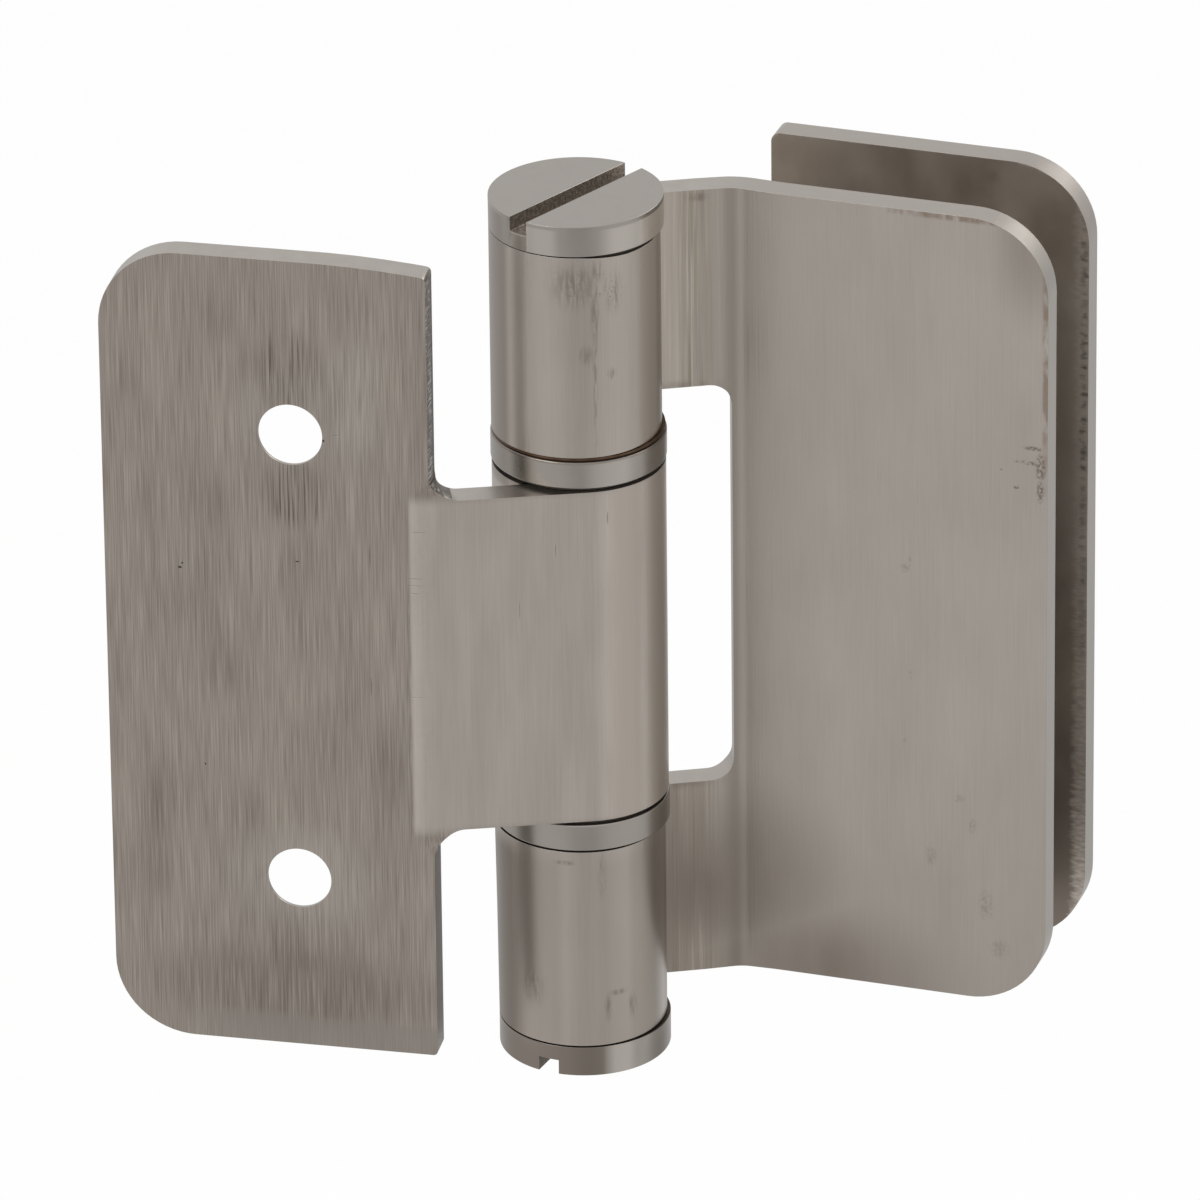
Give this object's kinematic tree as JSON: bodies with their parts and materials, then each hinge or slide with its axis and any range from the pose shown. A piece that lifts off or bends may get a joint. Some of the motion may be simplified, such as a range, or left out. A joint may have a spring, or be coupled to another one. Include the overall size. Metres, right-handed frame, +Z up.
{
  "type": "shower door hinge",
  "caption": "Folded sheet steel hinge for a frameless shower door: a wall leaf rolled into the centre knuckle and a glass leaf with a clamp plate, on a capped pin.",
  "frame": {"origin": "middle of the wall leaf's two fixing holes, on the face that lies against the wall", "axes": "+Z up along the pin, -Y into the wall, +X from the wall leaf towards the glass"},
  "size_m": [0.0971, 0.0445, 0.0974],
  "materials": {
    "brushed_stainless": "brushed stainless steel, satin, worn",
    "bronze": "dark oiled bronze",
    "white_nylon": "natural nylon",
    "black_plastic": "black nylon"
  },
  "bodies": {
    "wall_side": {"wall_leaf": "brushed_stainless", "centre_bush_upper": "white_nylon", "centre_bush_lower": "white_nylon"},
    "glass_side": {"glass_leaf": "brushed_stainless", "clamp_plate": "brushed_stainless", "clamp_boss_upper": "brushed_stainless", "clamp_boss_lower": "brushed_stainless", "clamp_screws": "brushed_stainless", "hinge_pin": "brushed_stainless", "top_cap": "brushed_stainless", "bottom_cap": "brushed_stainless", "upper_thrust_ring": "brushed_stainless", "lower_thrust_ring": "brushed_stainless", "upper_bronze_washer": "bronze", "knuckle_bush_upper": "white_nylon", "knuckle_bush_lower": "white_nylon", "glass_sleeve_upper": "white_nylon", "glass_sleeve_lower": "white_nylon", "top_cap_washer": "black_plastic", "bottom_cap_washer": "black_plastic", "upper_inner_washer": "black_plastic", "lower_inner_washer": "black_plastic", "lower_outer_washer": "black_plastic"}
  },
  "joints": [
    {"name": "door_swing", "type": "hinge", "parent": "wall_side", "child": "glass_side", "pos_m": [0.02728, 0.0143, 0], "axis": [0, 0, 1], "range_deg": [-170, 136]}
  ]
}
